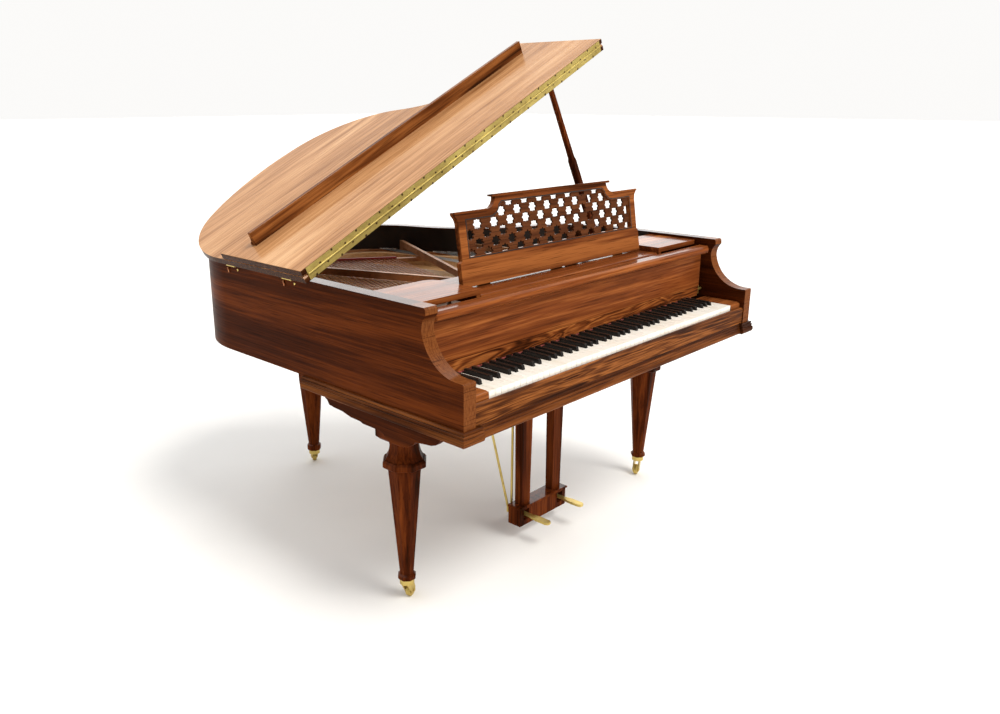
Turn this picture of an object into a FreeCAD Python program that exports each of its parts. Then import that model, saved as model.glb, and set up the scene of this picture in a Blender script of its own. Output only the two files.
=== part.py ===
import FreeCAD, Part
import math
import os
from FreeCAD import Vector

# Baby grand piano, lid propped open, front flap folded back on the main lid.
# Millimetres.  X runs along the keyboard (bass is -X, treble is +X), Y runs from
# the fronts of the arms (y = 0) to the tail, Z is up from the floor.  x = 0 is the
# middle of the case.  Everything is moved by -middle_y as it is written, so that the
# origin is on the floor below the middle of the piano.

# ---------------------------------------------------------------- driving sizes
middle_y = 684.0
half_width = 720.0            # outer face of the case sides
rim_thick = 42.0              # sides, rim and arms
rim_top = 916.0
case_bottom = 640.0           # underside of arms and rim, top of the key bed
bed_thick = 36.0
bed_bottom = case_bottom - bed_thick
bed_depth = 620.0
arm_depth = 205.0             # the arms end here and the bent rim begins
arm_low_top = 756.0           # top of the arm's low front
arm_horn_y = 130.0            # front of the arm's tall part

spine_straight_end = 1000.0   # where the spine starts to bend into the tail
tail_left_radius = 317.0
tail_left_turn = 65.0
tail_end_radius = 887.0
tail_end_turn = 30.0
tail_right_radius = 337.0
tail_right_turn = 70.0
hollow_radius = 393.0
hollow_turn = 53.0
treble_radius = 287.0
treble_turn = 68.0

inner_rim_width = 30.0
soundboard_bottom = 786.0
soundboard_thick = 9.0
plate_bottom = 812.0
plate_thick = 12.0
string_z = 838.0
string_radius = 1.0
belly_rail_y = 530.0
pin_block_front = 300.0
pin_block_back = 425.0
agraffe_y = 437.0

key_top = 710.0
key_height = 22.0
key_front = 18.0
key_back = 420.0
fall_face_y = 165.0
balance_y = 238.0
balance_radius = 3.0
keyboard_half = 613.5
natural_count = 52
key_gap = 0.9
sharp_width = 10.5
sharp_rise = 12.0
sharp_front = 68.0
sharp_back = 162.0

fall_pivot_y = 168.5
fall_pivot_z = 738.0
fall_thick = 18.0
fall_bottom = 714.0
fall_seam = 750.0
fall_top = 892.0
fall_nose = 868.0
fall_nose_y = 140.0
fall_half = 657.0

shelf_front = 205.0
shelf_back = 390.0
shelf_top = 907.0
shelf_thick = 16.0
shelf_inner = 440.0
tray_half = 436.0
tray_back = 415.0
tray_top = 890.0
tray_thick = 17.0
tray_bottom = tray_top - tray_thick

desk_hinge_y = 294.0
desk_hinge_z = 894.0
desk_lean = 9.0
desk_half = 432.0
desk_wing_top = 201.0
desk_top = 238.0
desk_top_half = 283.0
desk_thick = 15.0
desk_rear = 4.0               # rear face of the desk, in front of its hinge axis
strut_reach = 110.0           # hinge axis to strut pivot, and strut pivot to foot
strut_thick = 7.0

lid_angle = 25.8
lid_overhang = 13.0
lid_gap = 0.5                 # underside of the lid above the rim's top plane
lid_thick = 19.0
flap_gap = 1.5
lid_hinge_line = 562.0
flap_depth = 396.0
lid_axis_x = -725.0
lid_axis_z = 910.0
lid_bevel = 4.5
bar_front = 852.0
bar_thick = 26.0
bar_height = 43.0
bar_left = -670.0
bar_right = 643.0

prop_y = 600.0
prop_pivot_x = 636.0
prop_pivot_z = 880.0
prop_lean = 29.2
prop_length = 619.0
prop_shoulder = 347.0
prop_thick = 26.0
prop_thin = 15.0

leg_front_x = 603.0
leg_front_y = 335.0
leg_back_x = -200.0
leg_back_y = 1310.0
leg_foot_z = 68.0
leg_collar_z = 418.0
leg_block_z = 500.0
leg_block = 120.0

wheel_radius = 19.0
wheel_width = 14.0
caster_trail = 19.0

lyre_y0 = 318.0
lyre_y1 = 368.0
lyre_half = 120.0
lyre_box_z0 = 46.0
lyre_box_z1 = 114.0
post_x = 80.0
pedal_x = 88.0
pedal_pivot_y = 350.0
pedal_pivot_z = 82.0
pedal_tip_y = 222.0
rod_x = 95.0
rod_y = 377.0


# ---------------------------------------------------------------- small helpers
def box(x0, x1, y0, y1, z0, z1):
    return Part.makeBox(x1 - x0, y1 - y0, z1 - z0, Vector(x0, y0, z0))


def rod(start, end, radius):
    a = Vector(*start)
    axis = Vector(*end) - a
    return Part.makeCylinder(radius, axis.Length, a, axis)


def prism(points, direction):
    """Extrude a closed polygon of 3-D points."""
    corners = [Vector(*p) for p in points]
    wire = Part.makePolygon(corners + corners[:1])
    return Part.Face(wire).extrude(Vector(*direction))


def prism_x(profile, x0, x1):
    """Extrude a (y, z) polygon along X."""
    return prism([(x0, y, z) for y, z in profile], (x1 - x0, 0, 0))


def prism_y(profile, y0, y1):
    """Extrude an (x, z) polygon along Y."""
    return prism([(x, y0, z) for x, z in profile], (0, y1 - y0, 0))


def arc(a, mid, b):
    return Part.Arc(Vector(*a), Vector(*mid), Vector(*b)).toShape()


def line(a, b):
    return Part.makeLine(Vector(*a), Vector(*b))


def extrude_edges(edges, direction):
    wire = Part.Wire(Part.__sortEdges__(edges))
    return Part.Face(wire).extrude(Vector(*direction))


def fuse(shapes):
    whole = shapes[0].multiFuse(shapes[1:]) if len(shapes) > 1 else shapes[0]
    return whole.removeSplitter()


def mirror_x(shape):
    return shape.mirror(Vector(0, 0, 0), Vector(1, 0, 0))


def bevel(shape, size, wanted):
    """Chamfer the edges for which wanted(edge) is true."""
    return shape.makeChamfer(size, [e for e in shape.Edges if wanted(e)])


def octagon(cx, cy, z, flats):
    """Regular octagon with flats square to the axes, as a closed wire."""
    radius = flats / 2 / math.cos(math.pi / 8)
    points = []
    for i in range(9):
        angle = math.pi / 8 + i * math.pi / 4
        points.append(Vector(cx + radius * math.cos(angle), cy + radius * math.sin(angle), z))
    return Part.makePolygon(points)


def square(cx, cy, z, side, corner):
    """Square with clipped corners: eight points, to loft to an octagon."""
    h = side / 2
    c = h - corner
    pairs = [(h, c), (c, h), (-c, h), (-h, c), (-h, -c), (-c, -h), (c, -h), (h, -c)]
    points = [Vector(cx + px, cy + py, z) for px, py in pairs]
    return Part.makePolygon(points + points[:1])


# ---------------------------------------------------------------- case outline
def outline_edges(inset, y_start):
    """Case outline moved inwards by inset: up the spine, round the tail, down the
    bent side to the straight treble side, as edges at z = 0."""
    turns = [
        ("arc", tail_left_radius, tail_left_turn),
        ("arc", tail_end_radius, tail_end_turn),
        ("arc", tail_right_radius, tail_right_turn),
        ("arc", hollow_radius, -hollow_turn),
        ("line", bent_straight(), 0),
        ("arc", treble_radius, treble_turn),
    ]
    x = -half_width + inset
    y = spine_straight_end
    heading = 0.0
    edges = [line((x, y_start, 0), (x, y, 0))]
    for kind, size, turn in turns:
        h = math.radians(heading)
        if kind == "line":
            nx = x + size * math.sin(h)
            ny = y + size * math.cos(h)
            edges.append(line((x, y, 0), (nx, ny, 0)))
        else:
            side = 1 if turn > 0 else -1
            radius = size - side * inset
            cx = x + side * radius * math.cos(h)
            cy = y - side * radius * math.sin(h)
            ends = []
            for part in (0.5, 1.0):
                a = math.radians(heading + turn * part)
                ends.append((cx - side * radius * math.cos(a), cy + side * radius * math.sin(a), 0))
            edges.append(arc((x, y, 0), ends[0], ends[1]))
            nx, ny = ends[1][0], ends[1][1]
            heading += turn
        x, y = nx, ny
    edges.append(line((x, y, 0), (x, y_start, 0)))
    return edges


def bent_straight():
    """Length of the straight between the hollow and the treble bend, so that the
    outline comes back to the treble side."""
    across = 0.0
    heading = 0.0
    bends = [
        (tail_left_radius, tail_left_turn),
        (tail_end_radius, tail_end_turn),
        (tail_right_radius, tail_right_turn),
        (hollow_radius, -hollow_turn),
        (treble_radius, treble_turn),
    ]
    for radius, turn in bends:
        side = 1 if turn > 0 else -1
        a = math.radians(heading)
        b = math.radians(heading + turn)
        across += side * radius * (math.cos(a) - math.cos(b))
        heading += turn
    straight_heading = math.radians(180.0 - treble_turn)
    return (2 * half_width - across) / math.sin(straight_heading)


def plan_solid(inset, y_start, z0, z1):
    """Everything inside the inset outline and behind y_start."""
    edges = outline_edges(inset, arm_depth)
    x = half_width - inset
    edges.append(line((x, arm_depth, 0), (-x, arm_depth, 0)))
    solid = extrude_edges(edges, (0, 0, z1 - z0))
    solid.translate(Vector(0, 0, z0))
    if y_start <= arm_depth:
        return solid
    return solid.common(box(-x - 1, x + 1, y_start, 2000, z0 - 1, z1 + 1))


def rim_band(outer, inner, y_start, z0, z1):
    ring = plan_solid(outer, y_start, z0, z1)
    core = plan_solid(inner, arm_depth, z0 - 1, z1 + 1)
    front = box(-half_width + inner, half_width - inner, arm_depth - 1, arm_depth + 1, z0 - 1, z1 + 1)
    return ring.cut(core).cut(front)


# ---------------------------------------------------------------- case
def arm(side):
    """Arm with its scrolled front: a low front, a quarter hollow and a tall horn."""
    hollow_y, hollow_z, hollow_r = 40.0, 868.0, 98.0
    low = arm_low_top
    mid = hollow_r / math.sqrt(2)
    x0 = half_width - rim_thick
    edges = [
        line((x0, 0, case_bottom), (x0, 0, low - 3)),
        line((x0, 0, low - 3), (x0, 3, low)),
        line((x0, 3, low), (x0, hollow_y - 14, low)),
        arc((x0, hollow_y - 14, low), (x0, hollow_y + mid - 2, hollow_z - mid - 5),
            (x0, hollow_y + hollow_r, hollow_z - 14)),
        arc((x0, hollow_y + hollow_r, hollow_z - 14), (x0, hollow_y + hollow_r - 5, hollow_z + 17),
            (x0, arm_horn_y - 6, rim_top - 18)),
        line((x0, arm_horn_y - 6, rim_top - 18), (x0, arm_horn_y - 5, rim_top - 5)),
        line((x0, arm_horn_y - 5, rim_top - 5), (x0, arm_horn_y, rim_top)),
        line((x0, arm_horn_y, rim_top), (x0, arm_depth, rim_top)),
        line((x0, arm_depth, rim_top), (x0, arm_depth, case_bottom)),
        line((x0, arm_depth, case_bottom), (x0, 0, case_bottom)),
    ]
    solid = extrude_edges(edges, (rim_thick, 0, 0))
    return solid if side > 0 else mirror_x(solid)


def inner_rim():
    ledge = 10.0
    low = rim_band(rim_thick, rim_thick + inner_rim_width, agraffe_y, case_bottom, soundboard_bottom)
    high = rim_band(rim_thick, rim_thick + ledge, agraffe_y, soundboard_bottom, plate_bottom)
    return fuse([low, high])


def beam(start, end, width, z0, z1):
    """Straight bar on plan between two (x, y) points."""
    a = Vector(start[0], start[1], z0)
    run = Vector(end[0] - start[0], end[1] - start[1], 0)
    across = Vector(-run.y, run.x, 0)
    across.normalize()
    across.multiply(width / 2)
    corners = [a + across, a - across, a + run - across, a + run + across]
    wire = Part.makePolygon(corners + corners[:1])
    return Part.Face(wire).extrude(Vector(0, 0, z1 - z0))


def back_beams():
    """Belly rail, and the posts that brace the rim below the soundboard."""
    reach = rim_thick + inner_rim_width
    room = plan_solid(reach, belly_rail_y + 40, case_bottom, case_bottom + 80)
    rail = box(-half_width + reach, half_width - reach, belly_rail_y, belly_rail_y + 40,
               case_bottom, soundboard_bottom)
    rail = rail.common(plan_solid(reach, belly_rail_y, case_bottom, soundboard_bottom))
    posts = [((-430, 560), (-430, 1400)), ((-60, 560), (-200, 1400)), ((250, 560), (-80, 1400)),
             ((480, 560), (420, 1000))]
    beams = [beam(a, b, 60, case_bottom, case_bottom + 80).common(room) for a, b in posts]
    return fuse([rail] + beams)


def moulding_profile():
    """(out, up) points of the base moulding: a round member under two reeds."""
    points = [(-16, bed_bottom), (9, bed_bottom)]
    members = [(bed_bottom + 10, 10, 14 - 9, 9), (bed_bottom + 24, 4, 4, 7), (bed_bottom + 32, 4, 4, 5)]
    for centre, half_height, bulge, base in members:
        for step in range(1, 8):
            angle = math.pi * (step / 8 - 0.5)
            points.append((base + bulge * math.cos(angle), centre + half_height * math.sin(angle)))
        points.append((base, centre + half_height))
    points += [(-16, case_bottom)]
    return points


def base_moulding():
    """Side mouldings with mitred returns round the arms, and a set-back front one."""
    profile = moulding_profile()
    out = 15.0
    return_end = 660.0
    back = 10.0
    side = prism_y([(-half_width - d, z) for d, z in profile], 0, bed_depth)
    side_long = prism_y([(-half_width - d, z) for d, z in profile], -out, 0)
    front = prism_x([(-d, z) for d, z in profile], -half_width, -return_end)
    front_long = prism_x([(-d, z) for d, z in profile], -half_width - out, -half_width)
    left = fuse([side, front, side_long.common(front_long)])
    middle = prism_x([(back - d, z) for d, z in profile if d > -16]
                     + [(16, case_bottom), (16, bed_bottom)], -return_end, return_end)
    return [left, mirror_x(left), middle]


def apron():
    """Scalloped board under the side moulding, over the front leg."""
    top = bed_bottom
    profile = [(90, top), (91, top - 10), (97, top - 22), (108, top - 32), (124, top - 38),
               (150, top - 41), (181, top - 45), (192, top - 56), (208, top - 66), (228, top - 71),
               (275, top - 73), (292, top - 68), (302, top - 57), (316, top - 51), (384, top - 50),
               (395, top - 46), (433, top - 45), (470, top - 37), (505, top - 35), (528, top - 32),
               (536, top - 20), (545, top - 16), (547, top)]
    thickness = 20.0
    outer = half_width - 14.0
    right = prism_x(profile, outer - thickness, outer)
    return [mirror_x(right), right]


# ---------------------------------------------------------------- sounding parts
plate_top = plate_bottom + plate_thick
bass_z = string_z                       # wound strings, crossing over the others
treble_z = string_z - 6.0
strut_low = bass_z + 4.0
strut_top = 864.0
bass_edge = -212.0                      # break between bass and treble at the front
hitch_inset = 84.0
bar_y0 = agraffe_y - 6
bar_y1 = agraffe_y + 3
struts = [((bass_edge, bar_y0), (-519, 1200)), ((bass_edge, bar_y0), (164, 1200)),
          ((330, bar_y0), (236, 1100)), ((520, bar_y0), (499, 820))]
bass_hitch = ((-560, 1331), (34, 939))
bass_fan = ((-626, -372, 1208), (-240, -45, 993), 22)
treble_fans = [((-160, -394, 1337), (-10, -244, 1337), 10), ((76, 76, 1215), (103, 103, 1215), 4),
               ((150, 172, 1150), (318, 228, 1075), 9), ((342, 262, 1040), (508, 488, 790), 11),
               ((532, 520, 745), (616, 608, 640), 9)]


def iron_plate():
    """Cast frame: rim flange, flange over the pin block, string rests and webs."""
    inner_face = half_width - rim_thick - 1
    room = plan_solid(62, bar_y0, plate_top, strut_top)
    parts = [
        rim_band(rim_thick + 1, rim_thick + 80, agraffe_y - 12, plate_bottom, plate_top),
        rim_band(hitch_inset, hitch_inset + 12, belly_rail_y, plate_top, treble_z - string_radius),
        box(-inner_face, inner_face, pin_block_front, agraffe_y + 5, plate_bottom, plate_top),
        box(-inner_face, bass_edge, bar_y0, bar_y1, plate_top, bass_z - string_radius),
        box(bass_edge, inner_face, bar_y0, bar_y1, plate_top, treble_z - string_radius),
        beam(bass_hitch[0], bass_hitch[1], 22, plate_top, bass_z - string_radius).common(room),
        beam((24, 946), (64, 920), 22, plate_top, strut_low),
    ]
    feet = [rim_band(62, hitch_inset + 12, belly_rail_y, plate_top, strut_low),
            box(-inner_face, inner_face, bar_y0, bar_y1, plate_top, strut_low)]
    for a, b in struts:
        parts.append(beam(a, b, 13, strut_low, strut_top).common(room))
        parts += [beam(a, b, 13, plate_top, strut_low).common(foot) for foot in feet]
    return fuse(parts)


def fan(first, last, count):
    """Strings as (front x, far x, far y) lines, spread evenly."""
    lines = []
    for i in range(count):
        t = i / (count - 1)
        lines.append([a + t * (b - a) for a, b in zip(first, last)])
    return lines


def string_lines():
    treble = []
    for group in treble_fans:
        treble += fan(*group)
    return fan(*bass_fan), treble


def at_y(run, y):
    front_x, far_x, far_y = run
    return front_x + (far_x - front_x) * (y - agraffe_y) / (far_y - agraffe_y)


def pin_place(run, index):
    y = 345.0 + 18.0 * (index % 4)
    return at_y(run, y), y


def strings(runs, z, room):
    wires = []
    for index, run in enumerate(runs):
        x, y = pin_place(run, index)
        wire = rod((x, y + 3.4, z), (run[1], run[2], z), string_radius)
        wires.append(wire.common(room))
    return wires


def bass_strings():
    bass, _ = string_lines()
    a, b = bass_hitch
    front = [(-700, 300), (700, 300), b, a]
    room = prism([(x, y, bass_z - 5) for x, y in front], (0, 0, 10))
    return strings(bass, bass_z, room)


def treble_strings():
    _, treble = string_lines()
    (ax, ay), (bx, by) = bass_hitch
    slope = (by - ay) / (bx - ax)
    front = [(-900, ay - 14 + slope * (-900 - ax)), (bx - 7, by - 10), (bx - 7, 2000), (-900, 2000)]
    past_bass = prism([(x, y, treble_z - 9) for x, y in front], (0, 0, 18))
    room = plan_solid(hitch_inset + 4, pin_block_front, treble_z - 5, treble_z + 5)
    return strings(treble, treble_z, room.cut(past_bass))


def tuning_pins():
    pins = []
    for runs in string_lines():
        for index, run in enumerate(runs):
            x, y = pin_place(run, index)
            pins.append(rod((x, y, plate_top), (x, y, bass_z + 11), 3))
    return pins


def string_felt():
    low = treble_z - string_radius
    front = box(-650, 650, 415, 429, plate_top, low)
    on_bass = beam((-385, 1199), (-45, 974), 12, bass_z + string_radius, bass_z + 7)
    return [front, on_bass]


def bridges():
    bend = rim_band(150, 170, belly_rail_y + 60, soundboard_bottom + soundboard_thick,
                    treble_z - string_radius)
    spine_side = box(-720, -430, 400, 1400, 700, 900)
    past_plate = beam((-620, 1371), (40, 935), 40, 700, 900)
    block = box(10, 80, 895, 965, 700, 900)
    return bend.cut(spine_side).cut(past_plate).cut(block).Solids


def soundboard_ribs():
    room = plan_solid(rim_thick + inner_rim_width + 1, belly_rail_y + 42, 770, soundboard_bottom)
    ribs = []
    for i in range(7):
        start = (-700 + 190 * i, 520)
        ribs.append(beam(start, (start[0] + 760, 1420), 20, 772, soundboard_bottom).common(room))
    return [r for rib in ribs for r in rib.Solids]


def hammers():
    profile = [(345, 764), (345, 770), (462, 770), (462, 802), (486, 802), (486, 760), (462, 764)]
    bass, treble = string_lines()
    return [prism_x(profile, at_y(run, 474) - 4.5, at_y(run, 474) + 4.5) for run in bass + treble]


def action_frame():
    low = 724.0
    parts = []
    for side in (-1, 1):
        x = side * 630
        parts.append(box(x - 7, x + 7, 300, 500, case_bottom, 764))
    parts.append(box(-625, 625, 330, 352, low, 764))
    parts.append(box(-625, 625, 430, 448, low, 740))
    return fuse(parts)


def under_strut(low_x, high_x):
    """Whether a damper between these x would meet a web of the plate above it."""
    for (ax, ay), (bx, by) in struts:
        x = ax + (bx - ax) * (508 - ay) / (by - ay)
        if low_x - 16 < x < high_x + 14:
            return True
    return False


def dampers():
    """Felt heads on the strings, with wires down to one lifting rail."""
    bass, treble = string_lines()
    low = 746.0
    foot_y = 521.0
    parts = [box(-612, 330, 514, 528, low, low + 12)]
    for run in bass + treble[:23]:
        z = bass_z if run in bass else treble_z
        x = at_y(run, 508)
        wire_x = at_y(run, foot_y) + 3.4
        if under_strut(x, wire_x):
            continue
        parts.append(box(x - 3.5, x + 3.5, 494, 519, z + string_radius, z + 12))
        parts.append(box(x - 3.5, wire_x + 1, 519, 522, z + 5, z + 12))
        parts.append(box(wire_x - 1, wire_x + 1, foot_y - 1, foot_y + 1, low + 11, z + 11))
    return fuse(parts)


# ---------------------------------------------------------------- keyboard
pitch = 2 * keyboard_half / natural_count


def octave_step(i):
    """Place of natural i in its octave, with C = 0; the lowest natural is an A."""
    return (i + 5) % 7


def sharp_after(i):
    """Middle of the sharp between natural i and the next, or None."""
    shift = {0: -2.4, 1: 2.4, 3: -3.4, 4: 0.0, 5: 3.4}
    step = octave_step(i)
    if i < 0 or i >= natural_count - 1 or step not in shift:
        return None
    return -keyboard_half + (i + 1) * pitch + shift[step]


def natural(i):
    """Wide head at the front, narrow tail between the sharps."""
    x0 = -keyboard_half + i * pitch + key_gap / 2
    x1 = x0 + pitch - key_gap
    half = sharp_width / 2 + key_gap
    left = sharp_after(i - 1)
    right = sharp_after(i)
    t0 = x0 if left is None else left + half
    t1 = x1 if right is None else right - half
    low = key_top - key_height
    corners = [(x0, key_front), (x1, key_front), (x1, sharp_front - 1), (t1, sharp_front - 1),
               (t1, key_back), (t0, key_back), (t0, sharp_front - 1), (x0, sharp_front - 1)]
    tidy = [p for n, p in enumerate(corners) if p != corners[n - 1]]
    return prism([(x, y, low) for x, y in tidy], (0, 0, key_height))


def sharp(x):
    h = sharp_width / 2
    low = key_top - key_height
    top = key_top + sharp_rise
    stick = prism_x([(sharp_front, low), (sharp_front, key_top - 2), (sharp_front + 3, top - 2),
                     (sharp_front + 6, top), (sharp_back, top), (sharp_back, key_top),
                     (key_back, key_top), (key_back, low)], x - h, x + h)
    return stick


def key_groups():
    groups = {}
    for i in range(natural_count):
        groups.setdefault("naturals_" + "abcd"[i % 4], []).append(natural(i))
    middles = [sharp_after(i) for i in range(natural_count)]
    for n, x in enumerate(m for m in middles if m is not None):
        groups.setdefault("sharps_" + "abc"[n % 3], []).append(sharp(x))
    return groups


def key_frame():
    """Three rails joined by ties; the keys rock on the round top of the middle one."""
    low = key_top - key_height
    ridge = low - balance_radius
    front_rail = box(-612, 612, 26, 44, case_bottom, low - 12)
    base = prism_x([(balance_y - 14, case_bottom), (balance_y - 14, low - 14), (balance_y - 2, ridge),
                    (balance_y + 2, ridge), (balance_y + 14, low - 14), (balance_y + 14, case_bottom)],
                   -612, 612)
    bead = rod((-612, balance_y, ridge), (612, balance_y, ridge), balance_radius)
    back_rail = box(-612, 612, 394, 416, case_bottom, low)
    parts = [front_rail, fuse([base, bead]), back_rail]
    for x in (-597, -300, 0, 300, 597):
        parts.append(box(x - 15, x + 15, 44, balance_y - 14, case_bottom, case_bottom + 14))
        parts.append(box(x - 15, x + 15, balance_y + 14, 394, case_bottom, case_bottom + 14))
    return parts


def key_slip():
    profile = [(4, case_bottom), (2, key_top - 23), (5, key_top - 20), (8, key_top - 16),
               (11, key_top - 15), (14, key_top - 16), (16, key_top - 19), (16, case_bottom)]
    inner_face = half_width - rim_thick
    return prism_x(profile, -inner_face, inner_face)


def key_blocks():
    top = key_top + 2
    profile = [(16, case_bottom), (16, top - 9), (19, top - 3), (25, top), (150, top), (150, case_bottom)]
    right = prism_x(profile, keyboard_half + 1, half_width - rim_thick)
    return [mirror_x(right), right]


# ---------------------------------------------------------------- fallboard
def fallboard():
    y0 = fall_face_y
    y1 = y0 + fall_thick
    nose = fall_nose_y
    board = prism_x([(y0 + 4, fall_bottom), (y0 + 1, fall_seam - 2), (y0, fall_seam + 1), (y0, fall_nose),
                     (y1, fall_nose), (y1, fall_bottom + 14), (y1 - 6, fall_bottom)], -fall_half, fall_half)
    ledge = prism_x([(y0, fall_nose), (nose + 7, fall_nose), (nose + 2, fall_nose + 4),
                     (nose, fall_nose + 11), (nose + 3, fall_top - 5), (nose + 10, fall_top),
                     (y1, fall_top), (y1, fall_nose)], -fall_half - 18, fall_half + 18)
    corners = [prism([(s * 676, nose - 1, 860), (s * 661, nose - 1, 860), (s * 676, nose + 16, 860)],
                     (0, 0, 40)) for s in (-1, 1)]
    return fuse([board, ledge]).cut(corners[0]).cut(corners[1])


def fallboard_pivots():
    """Brass end plates with the pins that turn in the arms."""
    pivots = []
    for s in (-1, 1):
        plate = box(min(s * 657, s * 661), max(s * 657, s * 661), fall_face_y + 1, fall_face_y + 14, 722, 752)
        pin = rod((s * 658, fall_pivot_y, fall_pivot_z), (s * 686, fall_pivot_y, fall_pivot_z), 4)
        pivots.append(fuse([plate, pin]))
    return pivots


# ---------------------------------------------------------------- shelf and desk
def shelf_boards():
    """Fixed boards at both ends of the music shelf, with the runners of the tray."""
    edge = half_width - rim_thick
    low = shelf_top - shelf_thick
    clip = 32.0
    plan = [(shelf_inner, shelf_front), (edge, shelf_front), (edge, shelf_back),
            (shelf_inner + clip, shelf_back), (shelf_inner + clip / 3, shelf_back - clip / 3),
            (shelf_inner, shelf_back - clip)]
    board = prism([(x, y, low) for x, y in plan], (0, 0, shelf_thick))
    web = box(shelf_inner, shelf_inner + 16, shelf_front, shelf_back - clip, tray_bottom - 8, low)
    runner = box(shelf_inner - 20, shelf_inner + 16, shelf_front, shelf_back - clip,
                 tray_bottom - 8, tray_bottom)
    right = fuse([board, web, runner])
    return [mirror_x(right), right]


def desk_tray():
    profile = [(shelf_front, tray_bottom), (shelf_front, tray_top - 7), (shelf_front + 3, tray_top - 2),
               (shelf_front + 7, tray_top), (tray_back, tray_top), (tray_back, tray_bottom)]
    return prism_x(profile, -tray_half, tray_half)


def stand_up(shape):
    """From upright at the origin to leaning back on the desk's hinge line."""
    shape.rotate(Vector(0, 0, 0), Vector(1, 0, 0), -desk_lean)
    shape.translate(Vector(0, desk_hinge_y, desk_hinge_z))
    return shape


def both_sides(half_outline):
    """Mirror a right-hand (x, z) outline, given from the bottom to the top."""
    return half_outline + [(-x, z) for x, z in reversed(half_outline)]


def desk_opening():
    cove = [(296 - 44 * math.sin(a), 212 - 36 * math.cos(a)) for a in (0.0, 0.5, 1.0, 1.4)]
    return both_sides([(392, 78), (392, 176)] + cove + [(243, 214)])


def desk_frame():
    shoulder = [(300 - 32 * math.sin(a), 233 - 32 * math.cos(a)) for a in (0.0, 0.4, 0.8, 1.2, 1.5)]
    outline = both_sides([(432, -2), (432, 64), (424, 70), (424, 172), (428, 184), (437, 194),
                          (437, 201)] + shoulder + [(283, 233), (283, 238)])
    back = -desk_rear
    front = back - desk_thick
    board = prism_y(outline, front, back)
    window = prism_y(desk_opening(), front - 1, back + 1)
    ledge = prism_y(both_sides([(283, 231), (283, 238)]), front - 4, front)
    wings = [prism_y([(s * 310, 195), (s * 437, 195), (s * 437, 201), (s * 300, 201)], front - 3, front)
             for s in (-1, 1)]
    return stand_up(fuse([board.cut(window), ledge] + wings))


def fret_hole(x, z, y0, y1):
    """Eight-lobed opening."""
    points = []
    for n in range(16):
        a = 2 * math.pi * n / 16
        reach = 1.0 if n % 2 == 0 else 0.83
        points.append((x + 19 * reach * math.cos(a), z + 15.5 * reach * math.sin(a)))
    return prism_y(points, y0, y1)


def desk_fret_panel():
    row_rise = 26.5
    column = 69.0
    y0 = -desk_rear - 11
    y1 = -desk_rear - 5
    panel = prism_y(desk_opening(), y0, y1)
    holes = []
    for row in range(6):
        z = 83 + row * row_rise
        offset = 0 if row % 2 else column / 2
        for n in range(-6, 7):
            x = n * column + offset
            if abs(x) < 410:
                holes.append(fret_hole(x, z, y0 - 1, y1 + 1))
    pierced = panel.cut(Part.makeCompound(holes))
    biggest = max(pierced.Solids, key=lambda piece: piece.Volume)
    return stand_up(biggest)


def desk_hinges():
    hinges = []
    for x in (-330, 0, 330):
        barrel = rod((x - 25, desk_hinge_y, desk_hinge_z), (x + 25, desk_hinge_y, desk_hinge_z), 3.9)
        leaf = box(x - 25, x + 25, desk_hinge_y, desk_hinge_y + 24, tray_top, tray_top + 1.5)
        hinges.append(fuse([barrel, leaf]))
    return hinges


def desk_strut():
    """Flat strut from the back of the desk down to the tray."""
    lean = math.radians(desk_lean)
    top_y = desk_hinge_y + strut_reach * math.sin(lean)
    top_z = desk_hinge_z + strut_reach * math.cos(lean)
    h = strut_thick / 2
    body = box(90, 150, -h, h, -strut_reach, 0)
    ends = [rod((90, 0, -strut_reach), (150, 0, -strut_reach), h), rod((90, 0, 0), (150, 0, 0), h)]
    strut = fuse([body] + ends)
    strut.rotate(Vector(0, 0, 0), Vector(1, 0, 0), desk_lean)
    strut.translate(Vector(0, top_y, top_z))
    return strut


# ---------------------------------------------------------------- lid
lid_low = rim_top + lid_gap
lid_high = lid_low + lid_thick
flap_low = lid_high + flap_gap
leaf_gauge = 1.2
knuckle_z = lid_high + flap_gap / 2
knuckle_radius = 3.4


def lid_up(shape):
    """From the closed position to propped open."""
    shape.rotate(Vector(lid_axis_x, 0, lid_axis_z), Vector(0, 1, 0), -lid_angle)
    return shape


def main_lid():
    y0 = lid_hinge_line + leaf_gauge
    lid = plan_solid(-lid_overhang, y0, lid_low, lid_high)
    relief = prism_x([(y0 - 1, lid_high - lid_bevel - 1), (y0 + lid_bevel + 1, lid_high + 1),
                      (y0 - 1, lid_high + 1)], -750, 750)
    return lid_up(lid.cut(relief))


def lid_flap():
    y0 = lid_hinge_line + leaf_gauge
    y1 = lid_hinge_line + flap_depth
    reach = half_width + lid_overhang
    profile = [(y0 + lid_bevel, flap_low), (y1, flap_low), (y1, flap_low + lid_thick),
               (y0, flap_low + lid_thick), (y0, flap_low + lid_bevel)]
    return lid_up(prism_x(profile, -reach, reach))


def lid_lip_bar():
    z = flap_low + lid_thick
    y = bar_front
    profile = [(y, z), (y, z + bar_height), (y + 14, z + bar_height), (y + 15, z + 24),
               (y + 18, z + 12), (y + bar_thick, z + 7), (y + bar_thick, z)]
    return lid_up(prism_x(profile, bar_left, bar_right))


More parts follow.
